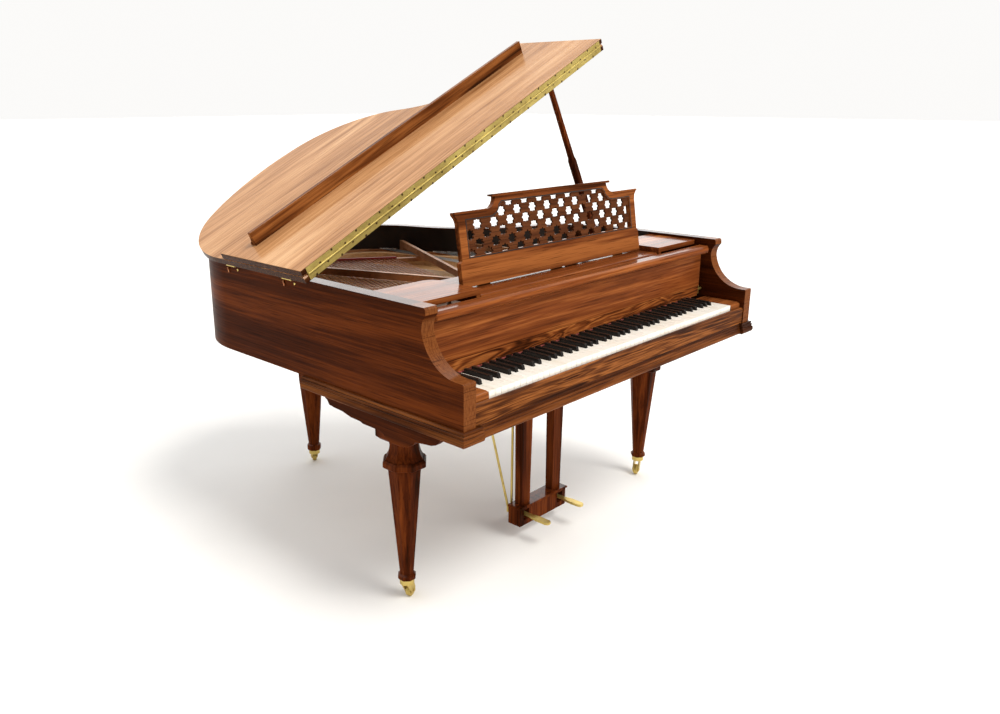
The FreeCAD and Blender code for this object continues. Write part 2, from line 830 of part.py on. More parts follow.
def lid_hinge(first, leaf_z0, leaf_z1):
    """One leaf of the long hinge, with every second knuckle."""
    reach = 716.0
    step = 2 * reach / 36
    y = lid_hinge_line
    leaf = box(-reach, reach, y, y + leaf_gauge, leaf_z0, leaf_z1)
    parts = [leaf]
    for n in range(first, 36, 2):
        x = -reach + n * step
        parts.append(rod((x + 0.2, y, knuckle_z), (x + step - 0.2, y, knuckle_z), knuckle_radius))
        parts.append(box(x + 0.2, x + step - 0.2, y, y + leaf_gauge, min(leaf_z0, knuckle_z),
                         max(leaf_z1, knuckle_z)))
    return lid_up(fuse(parts))


def spine_hinges():
    hinges = []
    for y in (665, 948):
        barrel = rod((lid_axis_x, y - 22, lid_axis_z), (lid_axis_x, y + 22, lid_axis_z), 3.6)
        leaf = box(lid_axis_x - 2, -720.6, y - 22, y + 22, lid_axis_z, lid_low)
        hinges.append(lid_up(fuse([barrel, leaf])))
    return hinges


def lid_brackets():
    """Spine plates below the hinge barrels, and the forked bracket of the prop."""
    parts = []
    for y in (665, 948):
        parts.append(box(-721.2, -720, y - 24, y + 24, 876, 908))
    base = box(668, 678, prop_y - 20, prop_y + 20, 866, 894)
    ears = [box(624, 670, prop_y + a, prop_y + b, 866, 894) for a, b in ((-20, -14), (14, 20))]
    pin = rod((prop_pivot_x, prop_y - 19, prop_pivot_z), (prop_pivot_x, prop_y + 19, prop_pivot_z), 4)
    room = plan_solid(rim_thick, 500, 860, 900)
    parts.append(fuse([base] + ears + [pin]).common(room))
    return parts


def lid_prop():
    """Square stick, thinner above its shoulder, cut to the slope of the lid."""
    h = prop_thick / 2
    t = prop_thin / 2
    c = 5.0
    section = [(h, h - c), (h - c, h), (c - h, h), (-h, h - c), (-h, c - h), (c - h, -h), (h - c, -h),
               (h, c - h)]
    lower = prism([(x, y, 0) for x, y in section], (0, 0, prop_shoulder - 14))
    taper = Part.makeLoft([square(0, 0, prop_shoulder - 14, prop_thick, c),
                           square(0, 0, prop_shoulder, prop_thin + 4, 2.5),
                           square(0, 0, prop_length + 40, prop_thin, 2.0)], True, True)
    eye = rod((0, -h, 0), (0, h, 0), h)
    hole = rod((0, -20, 0), (0, 20, 0), 4.06)
    stick = fuse([lower, taper, eye]).cut(hole)
    stick.rotate(Vector(0, 0, 0), Vector(0, 1, 0), -prop_lean)
    stick.translate(Vector(prop_pivot_x, prop_y, prop_pivot_z))
    above = lid_up(box(-800, 800, 500, 700, lid_low - 0.3, lid_low + 400))
    return stick.cut(above)


# ---------------------------------------------------------------- legs
def loft(sections):
    return Part.makeLoft(sections, True, True)


def front_leg(cx, cy):
    """Octagonal taper with a collar, a hollow neck and a square block."""
    z = leg_collar_z
    ring = loft([octagon(cx, cy, leg_foot_z, 46), octagon(cx, cy, leg_foot_z + 4, 50),
                 octagon(cx, cy, leg_foot_z + 13, 50), octagon(cx, cy, leg_foot_z + 17, 40)])
    shaft = loft([octagon(cx, cy, leg_foot_z + 15, 38), octagon(cx, cy, z, 91)])
    collar = loft([octagon(cx, cy, z, 110), octagon(cx, cy, z + 4, 118), octagon(cx, cy, z + 17, 118),
                   octagon(cx, cy, z + 23, 110)])
    neck = loft([octagon(cx, cy, z + 23, 104), octagon(cx, cy, z + 36, 90), octagon(cx, cy, z + 52, 82),
                 octagon(cx, cy, z + 67, 79), octagon(cx, cy, z + 82, 84)])
    block = loft([square(cx, cy, leg_block_z, leg_block - 14, 14), square(cx, cy, leg_block_z + 8, leg_block, 10),
                  square(cx, cy, bed_bottom, leg_block, 10)])
    socket = rod((cx, cy, leg_foot_z - 1), (cx, cy, leg_foot_z + 24), 5.05)
    return fuse([ring, shaft, collar, neck, block]).cut(socket)


def back_leg(cx, cy):
    ring = loft([octagon(cx, cy, leg_foot_z - 13, 46), octagon(cx, cy, leg_foot_z - 9, 50),
                 octagon(cx, cy, leg_foot_z + 8, 50), octagon(cx, cy, leg_foot_z + 12, 40)])
    shaft = loft([octagon(cx, cy, leg_foot_z + 10, 38), octagon(cx, cy, 350, 85), octagon(cx, cy, case_bottom, 96)])
    socket = rod((cx, cy, leg_foot_z - 14), (cx, cy, leg_foot_z + 12), 5.05)
    return fuse([ring, shaft]).cut(socket)


def caster(cx, cy, top, heading):
    """Fork and wheel, trailing along heading (degrees)."""
    r = wheel_radius
    d = caster_trail
    w = wheel_width / 2 + 0.6
    cap = rod((0, 0, top - 16), (0, 0, top - 0.4), 21)
    stem = rod((0, 0, top - 2), (0, 0, top + 20), 5)
    cheek = [(-13, top - 14), (-13, top - 20), (d - 9, r - 7), (d + 9, r - 7), (d + 10, r + 8),
             (17, top - 14)]
    cheeks = [prism_y(cheek, a, b) for a, b in ((-w - 4, -w), (w, w + 4))]
    axle = rod((d, -w - 6, r), (d, w + 6, r), 4)
    fork = fuse([cap, stem, axle] + cheeks).cut(rod((d, -w, r), (d, w, r), r + 1.2).cut(
        rod((d, -w - 1, r), (d, w + 1, r), 4)))
    tyre = rod((d, -wheel_width / 2, r), (d, wheel_width / 2, r), r)
    wheel = tyre.cut(rod((d, -20, r), (d, 20, r), 4.05))
    wheel = bevel(wheel, 1.5, lambda e: abs(e.Length - 2 * math.pi * r) < 1)
    for shape in (fork, wheel):
        shape.rotate(Vector(0, 0, 0), Vector(0, 0, 1), heading)
        shape.translate(Vector(cx, cy, 0))
    return fork, wheel


# ---------------------------------------------------------------- pedals
def lyre():
    posts = []
    for s in (-1, 1):
        cx = s * post_x
        y = (lyre_y0 + lyre_y1) / 2
        wires = []
        for z, wide, deep in ((lyre_box_z1, 40, 30), (200, 42, 30), (bed_bottom, 55, 34)):
            corners = [(cx - wide / 2, y - deep / 2), (cx + wide / 2, y - deep / 2),
                       (cx + wide / 2, y + deep / 2), (cx - wide / 2, y + deep / 2)]
            points = [Vector(px, py, z) for px, py in corners]
            wires.append(Part.makePolygon(points + points[:1]))
        posts.append(loft(wires))
    body = box(-lyre_half, lyre_half, lyre_y0, lyre_y1, lyre_box_z0, lyre_box_z1 - 8)
    lid = prism_y([(-lyre_half - 5, lyre_box_z1 - 8), (-lyre_half - 5, lyre_box_z1 - 3),
                   (-lyre_half, lyre_box_z1), (lyre_half, lyre_box_z1), (lyre_half + 5, lyre_box_z1 - 3),
                   (lyre_half + 5, lyre_box_z1 - 8)], lyre_y0 - 4, lyre_y1)
    head = box(-lyre_half, lyre_half, lyre_y0 - 6, lyre_y1 + 20, bed_bottom - 14, bed_bottom)
    rod_holes = [rod((s * rod_x, rod_y, 580), (s * rod_x, rod_y, 610), 4.1) for s in (-1, 1)]
    whole = fuse([body, lid, head] + posts)
    for s in (-1, 1):
        cx = s * pedal_x
        slot = box(cx - 14, cx + 14, lyre_y0 - 1, lyre_y1 + 1, 64, 100)
        bore = rod((cx - 22, pedal_pivot_y, pedal_pivot_z), (cx + 22, pedal_pivot_y, pedal_pivot_z), 3.05)
        whole = whole.cut(slot).cut(bore)
    return whole.cut(rod_holes[0]).cut(rod_holes[1])


def pedal(side):
    cx = side * pedal_x
    z = pedal_pivot_z
    y = pedal_tip_y
    tip = [(-12, y + 10), (-8, y + 2), (0, y), (8, y + 2), (12, y + 10), (12, y + 50), (7, y + 78),
           (7, 330), (12, 340), (12, rod_y + 8), (-12, rod_y + 8), (-12, 340), (-7, 330), (-7, y + 78),
           (-12, y + 50)]
    lever = prism([(cx + px, py, z - 4) for px, py in tip], (0, 0, 8))
    pin = rod((cx - 20, pedal_pivot_y, z), (cx + 20, pedal_pivot_y, z), 3)
    return fuse([lever, pin])


def pedal_rod(side):
    return rod((side * rod_x, rod_y, pedal_pivot_z + 4.9), (side * rod_x, rod_y, 628), 4)


def lyre_brace():
    x = -115.0
    stay = rod((x, 374, 96), (x, 528, bed_bottom - 2), 4)
    low = box(x - 7, x + 5, lyre_y1, lyre_y1 + 6.5, 84, 108)
    high = box(x - 12, x + 12, 514, 542, bed_bottom - 4, bed_bottom)
    return fuse([stay, low, high])


# ---------------------------------------------------------------- put together
def key_bed():
    inner = half_width - 16
    bed = box(-inner, inner, 16, bed_depth, bed_bottom, case_bottom)
    for s in (-1, 1):
        bed = bed.cut(rod((s * rod_x, rod_y, bed_bottom - 1), (s * rod_x, rod_y, case_bottom + 1), 4.1))
    return bed


def outer_rim():
    whole = fuse([rim_band(0, rim_thick, arm_depth, case_bottom, rim_top), arm(-1), arm(1)])
    y = fall_pivot_y
    return whole.cut(rod((-690, y, fall_pivot_z), (690, y, fall_pivot_z), 4.05))


def soundboard():
    return plan_solid(rim_thick + 10, belly_rail_y, soundboard_bottom, soundboard_bottom + soundboard_thick)


def pin_block():
    edge = half_width - rim_thick
    return box(-edge, edge, pin_block_front, pin_block_back, 776, plate_bottom)


def build():
    left_apron, right_apron = apron()
    nodes = {
        "outer_rim": outer_rim(),
        "inner_rim": inner_rim(),
        "key_bed": key_bed(),
        "base_mouldings": base_moulding(),
        "left_apron": left_apron,
        "right_apron": right_apron,
        "back_beams": back_beams(),
        "soundboard": soundboard(),
        "soundboard_ribs": soundboard_ribs(),
        "bridges": bridges(),
        "iron_plate": iron_plate(),
        "pin_block": pin_block(),
        "tuning_pins": tuning_pins(),
        "bass_strings": bass_strings(),
        "treble_strings": treble_strings(),
        "string_felt": string_felt(),
        "key_slip": key_slip(),
        "key_blocks": key_blocks(),
        "key_frame": key_frame(),
        "action_frame": action_frame(),
        "hammers": hammers(),
        "dampers": dampers(),
        "fallboard": fallboard(),
        "fallboard_pivots": fallboard_pivots(),
        "shelf_boards": shelf_boards(),
        "desk_tray": desk_tray(),
        "desk_frame": desk_frame(),
        "desk_fret_panel": desk_fret_panel(),
        "desk_hinges": desk_hinges(),
        "desk_strut": desk_strut(),
        "main_lid": main_lid(),
        "lid_flap": lid_flap(),
        "lid_lip_bar": lid_lip_bar(),
        "hinge_leaf_main": lid_hinge(0, lid_low + 1, knuckle_z - 4),
        "hinge_leaf_flap": lid_hinge(1, knuckle_z + 4, flap_low + lid_thick - 1),
        "spine_hinges": spine_hinges(),
        "lid_brackets": lid_brackets(),
        "lid_prop": lid_prop(),
        "left_leg": front_leg(-leg_front_x, leg_front_y),
        "right_leg": front_leg(leg_front_x, leg_front_y),
        "back_leg": back_leg(leg_back_x, leg_back_y),
        "lyre": lyre(),
        "left_pedal": pedal(-1),
        "right_pedal": pedal(1),
        "left_rod": pedal_rod(-1),
        "right_rod": pedal_rod(1),
        "lyre_brace": lyre_brace(),
    }
    nodes.update(key_groups())
    places = [("left", -leg_front_x, leg_front_y, leg_foot_z, 20), ("right", leg_front_x, leg_front_y, leg_foot_z, 200),
              ("back", leg_back_x, leg_back_y, leg_foot_z - 13, 60)]
    for name, x, y, top, heading in places:
        nodes[name + "_caster_fork"], nodes[name + "_caster_wheel"] = caster(x, y, top, heading)
    return nodes


os.makedirs("parts", exist_ok=True)
for name, shape in build().items():
    if isinstance(shape, list):
        shape = Part.makeCompound([solid for item in shape for solid in item.Solids])
    shape.translate(Vector(0, -middle_y, 0))
    shape.exportStep("parts/" + name + ".step")
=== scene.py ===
import bpy
import bmesh
import math
from mathutils import Matrix, Vector


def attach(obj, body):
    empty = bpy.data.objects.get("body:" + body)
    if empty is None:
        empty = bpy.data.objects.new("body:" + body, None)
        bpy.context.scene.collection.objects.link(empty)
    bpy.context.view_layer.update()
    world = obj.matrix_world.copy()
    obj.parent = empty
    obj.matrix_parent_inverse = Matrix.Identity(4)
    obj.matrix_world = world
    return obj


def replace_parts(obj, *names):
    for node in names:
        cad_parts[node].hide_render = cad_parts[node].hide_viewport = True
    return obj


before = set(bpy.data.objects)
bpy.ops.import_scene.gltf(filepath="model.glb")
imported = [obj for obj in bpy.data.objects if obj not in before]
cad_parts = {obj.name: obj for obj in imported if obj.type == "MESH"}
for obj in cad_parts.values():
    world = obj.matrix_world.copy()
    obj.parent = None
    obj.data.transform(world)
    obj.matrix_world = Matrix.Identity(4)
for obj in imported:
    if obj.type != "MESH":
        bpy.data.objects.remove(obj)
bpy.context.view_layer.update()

# A baby grand piano with its lid up.  Lengths in this script are millimetres on the
# design grid: X along the keyboard, Y from the fronts of the arms, Z from the floor.
# spot() turns them into metres in the model's own frame.

MIDDLE_Y = 684.0                  # the design Y of the frame's own origin
HALF_WIDTH = 720.0                # of the case
RIM = 42.0                        # thickness of the bent rim
LID_AXIS = (-725.0, 910.0)        # X and Z of the spine hinges
LID_ANGLE = math.radians(25.8)    # how far the lid is up at rest
HINGE_Y = 562.0                   # front face of the continuous hinge
DESK_Y = 294.0                    # the music desk's hinge line
DESK_Z = 894.0
DESK_LEAN = math.radians(9.0)
BAR_Y = 437.0                     # where the strings cross the front bearing
BASS_Z = 838.0                    # height of each plane of strings
TREBLE_Z = 832.0
HITCH = ((-560.0, 1331.0), (34.0, 939.0))       # the bass hitch beam's two ends
HITCH_INSET = 88.0                # how far inside the case outline the hitch rail lies
PIN_ROW_Y = 342.0                 # the first of eight staggered rows of tuning pins
PIN_ROW_STEP = 9.0
SCREW_PITCH = 48.5                # along the continuous hinge
ROUND_ABOVE = math.radians(32.0)  # edges sharper than this are rounded
FIGURE_DRAW = 0.055               # how far figure is drawn out along the grain
FIBRE_DRAW = 0.018                # the same for fibres and pores

# Edges of a look inside one piece, in metres in the model's own frame.
ARM_FRONT_Y = (-0.500, -0.515)    # where an arm's front veneer begins and is whole
FALLBOARD_SEAM_Z = 0.7500
NATURAL_TOP_Z = 0.7062            # under the key top's slab
NATURAL_BACK_Y = -0.515           # where the slab ends
NATURAL_FRONT_Y = -0.6645         # the slab's turned-down front
SHARP_FOOT_Z = 0.7095
SHARP_BACK_Y = -0.52

# Colours that more than one material uses.
BARE_KEY_WOOD = ((0.42, 0.27, 0.13), (0.62, 0.44, 0.24))
SEAM_COLOUR = (0.010, 0.004, 0.002)


# ------------------------------------------------------------------ places
def spot(x, y, z):
    return Vector((x / 1000, (y - MIDDLE_Y) / 1000, z / 1000))


def on_lid(x, y, z):
    """A point given with the lid closed, where it is with the lid up."""
    dx, dz = x - LID_AXIS[0], z - LID_AXIS[1]
    c, s = math.cos(LID_ANGLE), math.sin(LID_ANGLE)
    return spot(LID_AXIS[0] + dx * c - dz * s, y, LID_AXIS[1] + dx * s + dz * c)


def on_desk(x, out, up):
    """A point of the music desk: out from its back towards the player, up from its hinge."""
    c, s = math.cos(DESK_LEAN), math.sin(DESK_LEAN)
    return spot(x, DESK_Y - out * c + up * s, DESK_Z + out * s + up * c)


def outline(inset):
    """The case outline moved inwards, from the bass arm round the tail to the treble arm."""
    # Each bend is (radius, turn in degrees); radius 0 is the straight run that closes the width.
    bends = [(317.0, 65.0), (887.0, 30.0), (337.0, 70.0), (393.0, -53.0), (0.0, 0.0),
             (287.0, 68.0)]
    across, heading = 0.0, 0.0
    for radius, turn in bends:
        a, b = math.radians(heading), math.radians(heading + turn)
        across += math.copysign(radius, turn) * (math.cos(a) - math.cos(b))
        heading += turn
    straight = (2 * HALF_WIDTH - across) / math.sin(math.radians(112.0))
    x, y, heading = -HALF_WIDTH + inset, 1000.0, 0.0
    points = [(x, 205.0), (x, y)]
    for radius, turn in bends:
        h = math.radians(heading)
        if radius == 0:
            x, y = x + straight * math.sin(h), y + straight * math.cos(h)
            points.append((x, y))
            continue
        side = math.copysign(1.0, turn)
        r = radius - side * inset
        cx, cy = x + side * r * math.cos(h), y - side * r * math.sin(h)
        steps = max(4, int(abs(turn) / 3))
        for n in range(1, steps + 1):
            a = math.radians(heading + turn * n / steps)
            x, y = cx - side * r * math.cos(a), cy + side * r * math.sin(a)
            points.append((x, y))
        heading += turn
    points.append((x, 205.0))
    return points


def inside(loop, x, y):
    """Whether a point is inside a closed loop of (x, y)."""
    found = False
    for (ax, ay), (bx, by) in zip(loop, loop[1:] + loop[:1]):
        if (ay > y) != (by > y) and x < ax + (bx - ax) * (y - ay) / (by - ay):
            found = not found
    return found


# ------------------------------------------------------------------ nodes of a material
class Sheet:
    """One node material, with short calls for the nodes used here."""

    def __init__(self, name):
        self.material = bpy.data.materials.new(name)
        self.material.use_nodes = True
        self.tree = self.material.node_tree
        self.shader = self.tree.nodes["Principled BSDF"]
        place = self.add("TexCoord")
        self.here = place.outputs["Object"]
        self.way = place.outputs["Normal"]

    def add(self, kind, inputs=None, **settings):
        node = self.tree.nodes.new("ShaderNode" + kind)
        for key, value in settings.items():
            setattr(node, key, value)
        for key, value in (inputs or {}).items():
            self.put(node.inputs[key], value)
        return node

    def put(self, socket, value):
        if isinstance(value, bpy.types.NodeSocket):
            self.tree.links.new(value, socket)
        elif isinstance(value, tuple) and len(value) == 3 and socket.type == "RGBA":
            socket.default_value = value + (1.0,)
        else:
            socket.default_value = value

    def stretch(self, scale, turn=0.0):
        """Object coordinates scaled, after turning a raised lid's back to level."""
        place = self.here
        if turn:
            place = self.add("Mapping", {"Vector": place,
                                         "Rotation": (0.0, turn, 0.0)}).outputs[0]
        return self.add("Mapping", {"Vector": place, "Scale": scale}).outputs[0]

    def noise(self, vector, scale, detail=2.0, rough=0.5, distortion=0.0):
        return self.add("TexNoise", {"Vector": vector, "Scale": scale, "Detail": detail,
                                     "Roughness": rough, "Distortion": distortion}).outputs[0]

    def math(self, operation, a, b=0.0, c=0.0):
        node = self.add("Math", operation=operation)
        for socket, value in zip(node.inputs, (a, b, c)):
            self.put(socket, value)
        return node.outputs[0]

    def span(self, value, low, high, to_low=0.0, to_high=1.0):
        return self.add("MapRange", {"Value": value, "From Min": low, "From Max": high,
                                     "To Min": to_low, "To Max": to_high}).outputs[0]

    def ramp(self, value, stops):
        node = self.add("ValToRGB", {"Fac": value})
        ramp = node.color_ramp
        while len(ramp.elements) < len(stops):
            ramp.elements.new(0.5)
        for element, (place, colour) in zip(ramp.elements, stops):
            element.position = place
            element.color = colour + (1.0,)
        return node.outputs[0]

    def mix(self, factor, a, b):
        node = self.add("Mix", data_type="RGBA")
        for number, value in ((0, factor), (6, a), (7, b)):
            self.put(node.inputs[number], value)
        return node.outputs[2]

    def finish(self, colour, rough, height=None, bump=0.1, depth=0.0004, **settings):
        self.put(self.shader.inputs["Base Color"], colour)
        self.put(self.shader.inputs["Roughness"], rough)
        for key, value in settings.items():
            self.put(self.shader.inputs[key.replace("_", " ")], value)
        if height is not None:
            node = self.add("Bump", {"Height": height, "Strength": bump, "Distance": depth})
            self.put(self.shader.inputs["Normal"], node.outputs[0])
        return self.material


def wood(name, along, dark, mid, light, rings=3.0, figure=0.30, bands=1.3, streaks=0.9, coat=0.02,
         top=0.55, rough=0.36, spec=0.012, turn=0.0, scale=1.0, strip=None, edge=None, rim=None):
    """Lacquered wood.  along marks the axes that the grain runs on; coat and top are the gloss
    of upright and level faces; spec is the dull sheen under it; turn levels a raised lid;
    strip is the height of a veneer seam; edge is the veneer on the fronts of the arms; rim is
    the colour of a lid's sawn edges, and then coat is the gloss of its two broad faces."""
    s = Sheet(name)
    flow = s.stretch(tuple(FIGURE_DRAW if a else 1.0 for a in along), turn)
    thin = s.stretch(tuple(FIBRE_DRAW if a else 1.0 for a in along), turn)
    broad = s.noise(flow, 7.0 * scale, 3.0, 0.55, 0.35)
    wave = s.math("SINE", s.math("MULTIPLY", broad, rings * 14.0))
    streak = s.noise(flow, 34.0 * scale, 4.0, 0.62, 0.5)
    fibre = s.noise(thin, 150.0, 3.0, 0.6)
    pore = s.span(s.noise(thin, 520.0, 1.0, 0.5), 0.58, 0.70)
    tone = s.math("MULTIPLY_ADD", s.math("SUBTRACT", broad, 0.5), bands, 0.5)
    tone = s.math("ADD", tone, s.math("MULTIPLY", wave, figure))
    if strip is not None:
        height = s.add("SeparateXYZ", {"Vector": s.here}).outputs[2]
        below = s.span(height, strip + 0.0004, strip)
        swirl = s.noise(s.stretch((0.13, 1.0, 1.0)), 30.0, 2.0, 0.5, 0.8)
        burl = s.math("MULTIPLY", s.math("SINE", s.math("MULTIPLY", swirl, 44.0)), 0.22)
        tone = s.math("ADD", tone, s.math("MULTIPLY", burl, below))
    tone = s.math("MULTIPLY_ADD", s.math("SUBTRACT", streak, 0.5), streaks, tone)
    tone = s.math("MULTIPLY_ADD", s.math("SUBTRACT", fibre, 0.5), 0.75, tone)
    colour = s.ramp(tone, [(0.10, dark), (0.46, mid), (0.90, light)])
    smudge = s.noise(s.here, 5.0, 3.0, 0.6)
    if edge is not None:
        facing = s.add("SeparateXYZ", {"Vector": s.way}).outputs
        where = s.add("SeparateXYZ", {"Vector": s.here}).outputs[1]
        front = s.math("MULTIPLY", s.span(where, *ARM_FRONT_Y), s.span(
            s.math("ADD", s.math("MULTIPLY", facing[1], -1.0), facing[2]), 0.25, 0.6))
        line = s.noise(s.stretch((9.0, 1.0, 1.0)), 60.0, 3.0, 0.6)
        colour = s.mix(front, colour, s.mix(s.span(line, 0.3, 0.7), edge[0], edge[1]))
    if rim is not None:
        up = s.add("VectorMath", operation="DOT_PRODUCT")
        s.put(up.inputs[0], s.way)
        up.inputs[1].default_value = (-math.sin(LID_ANGLE), 0.0, math.cos(LID_ANGLE))
        face = s.math("ABSOLUTE", up.outputs["Value"])
        layer = s.noise(thin, 90.0, 2.0, 0.6)
        sawn = s.mix(s.span(layer, 0.3, 0.7), rim[0], rim[1])
        colour = s.mix(s.span(face, 0.75, 0.55), colour, sawn)
    colour = s.mix(s.math("MULTIPLY", pore, 0.6), colour, dark)
    if strip is not None:
        seam = s.span(s.math("ABSOLUTE", s.math("SUBTRACT", height, strip)), 0.0012, 0.0005)
        colour = s.mix(s.math("MULTIPLY", seam, 0.9), colour, SEAM_COLOUR)
    gloss = s.math("ADD", s.math("MULTIPLY_ADD", s.math("SUBTRACT", smudge, 0.5), 0.22, rough),
                   s.math("MULTIPLY", pore, 0.12))
    relief = s.math("SUBTRACT", s.math("MULTIPLY", fibre, 0.5), pore)
    if rim is None:
        level = s.add("SeparateXYZ", {"Vector": s.way}).outputs[2]
        shine = s.span(level, 0.5, 0.95, coat, top)
    else:
        shine = s.span(face, 0.55, 0.75, 0.02, coat)
    return s.finish(colour, gloss, relief, 0.16, 0.0003, Coat_Weight=shine, Coat_Roughness=0.12,
                    Specular_IOR_Level=spec, Specular_Tint=(1.0, 0.66, 0.42, 1.0))


def metal(name, dull, bright, rough, scale, tarnish=None, level=1.0):
    """Metal with cloudy tarnish and fine rubbing marks."""
    s = Sheet(name)
    cloud = s.noise(s.here, scale, 4.0, 0.65)
    colour = s.mix(s.span(cloud, 0.32, 0.66), dull, bright)
    scratch = s.noise(s.here, 420.0, 2.0, 0.6)
    if tarnish is not None:
        spots = s.span(s.noise(s.here, scale * 9, 3.0, 0.7), 0.60, 0.72)
        colour = s.mix(s.math("MULTIPLY", spots, 0.6), colour, tarnish)
    gloss = s.math("ADD", s.span(cloud, 0.3, 0.7, rough + 0.12, rough - 0.06),
                   s.math("MULTIPLY", s.math("SUBTRACT", scratch, 0.5), 0.16))
    return s.finish(colour, gloss, scratch, 0.10, 0.0002, Metallic=level)


def felt(name, dark, light):
    """Felt: fine fluff over worn patches."""
    s = Sheet(name)
    fluff = s.noise(s.here, 700.0, 4.0, 0.7)
    patch = s.noise(s.here, 60.0, 3.0, 0.6)
    colour = s.mix(s.span(fluff, 0.3, 0.7), dark, light)
    colour = s.mix(s.math("MULTIPLY", s.span(patch, 0.4, 0.7), 0.35), colour, dark)
    return s.finish(colour, s.span(fluff, 0.3, 0.7, 0.95, 0.80), fluff, 0.5, 0.0008,
                    Sheen_Weight=0.35, Sheen_Roughness=0.5)


def bare_key_wood(s):
    line = s.noise(s.stretch((1.0, 0.03, 1.0)), 200.0, 3.0, 0.6)
    return s.mix(s.span(line, 0.3, 0.7), *BARE_KEY_WOOD)


def ivory():
    """Key tops: faint lengthwise grain, warmer where fingers land; plain wood round them."""
    s = Sheet("ivory_tops")
    grain = s.noise(s.stretch((1.0, 0.05, 1.0)), 300.0, 3.0, 0.6)
    per_key = s.noise(s.stretch((1.0, 0.02, 0.02)), 26.0, 1.0, 0.5)
    wear = s.noise(s.here, 11.0, 3.0, 0.6)
    colour = s.ramp(s.math("MULTIPLY_ADD", s.math("SUBTRACT", grain, 0.5), 0.5, per_key),
                    [(0.25, (0.88, 0.82, 0.71)), (0.5, (0.93, 0.88, 0.79)),
                     (0.75, (0.96, 0.92, 0.85))])
    colour = s.mix(s.span(wear, 0.55, 0.8, 0.0, 0.10), colour, (0.82, 0.73, 0.57))
    where = s.add("SeparateXYZ", {"Vector": s.here}).outputs
    below = s.math("LESS_THAN", where[2], NATURAL_TOP_Z)
    behind = s.math("GREATER_THAN", where[1], NATURAL_BACK_Y)
    front = s.math("LESS_THAN", where[1], NATURAL_FRONT_Y)
    bare = s.math("MULTIPLY", s.math("MAXIMUM", below, behind), s.math("SUBTRACT", 1.0, front))
    colour = s.mix(bare, colour, bare_key_wood(s))
    gloss = s.math("ADD", s.span(wear, 0.3, 0.8, 0.22, 0.38), s.math("MULTIPLY", bare, 0.3))
    return s.finish(colour, gloss, grain, 0.05, 0.0002, Coat_Weight=0.25, Coat_Roughness=0.2)


def ebony():
    """Sharps: near-black wood with a faint grain, on plain key wood."""
    s = Sheet("ebony_sharps")
    grain = s.noise(s.stretch((1.0, 0.04, 1.0)), 260.0, 3.0, 0.6)
    rub = s.noise(s.here, 24.0, 3.0, 0.6)
    colour = s.mix(s.span(grain, 0.3, 0.7), (0.007, 0.006, 0.006), (0.022, 0.018, 0.016))
    where = s.add("SeparateXYZ", {"Vector": s.here}).outputs
    bare = s.math("MULTIPLY", s.math("LESS_THAN", where[2], SHARP_FOOT_Z),
                  s.math("GREATER_THAN", where[1], SHARP_BACK_Y))
    colour = s.mix(bare, colour, bare_key_wood(s))
    return s.finish(colour, s.span(rub, 0.3, 0.7, 0.24, 0.40), grain, 0.10, 0.0003,
                    Coat_Weight=0.03, Coat_Roughness=0.2, Specular_IOR_Level=0.12)


def wound():
    """Copper winding: fine rings along each bass string."""
    s = Sheet("copper_winding")
    ring = s.add("TexWave", {"Vector": s.stretch((0.15, 1.0, 0.0)), "Scale": 260.0,
                             "Distortion": 0.0},
                 wave_type="BANDS", bands_direction="Y").outputs["Fac"]
    age = s.noise(s.here, 8.0, 3.0, 0.6)
    colour = s.mix(s.span(age, 0.3, 0.7), (0.30, 0.10, 0.045), (0.66, 0.27, 0.12))
    colour = s.mix(s.math("MULTIPLY", ring, 0.35), colour, (0.12, 0.04, 0.02))
    return s.finish(colour, s.span(age, 0.3, 0.7, 0.42, 0.26), ring, 0.5, 0.0004, Metallic=0.9)


def lacquer(name, dark, light):
    """Dull paint with a fine orange-peel speck."""
    s = Sheet(name)
    speck = s.noise(s.here, 160.0, 4.0, 0.6)
    cloud = s.noise(s.here, 6.0, 3.0, 0.6)
    colour = s.mix(s.span(cloud, 0.3, 0.7), dark, light)
    return s.finish(colour, s.span(speck, 0.3, 0.7, 0.35, 0.53), speck, 0.14, 0.0004,
                    Coat_Weight=0.04, Coat_Roughness=0.2, Specular_IOR_Level=0.15)


GRAIN_X = (1, 0, 0)
GRAIN_Y = (0, 1, 0)
GRAIN_Z = (0, 0, 1)
GRAIN_ROUND = (1, 1, 0)       # level grain that follows an upright wall round its bends

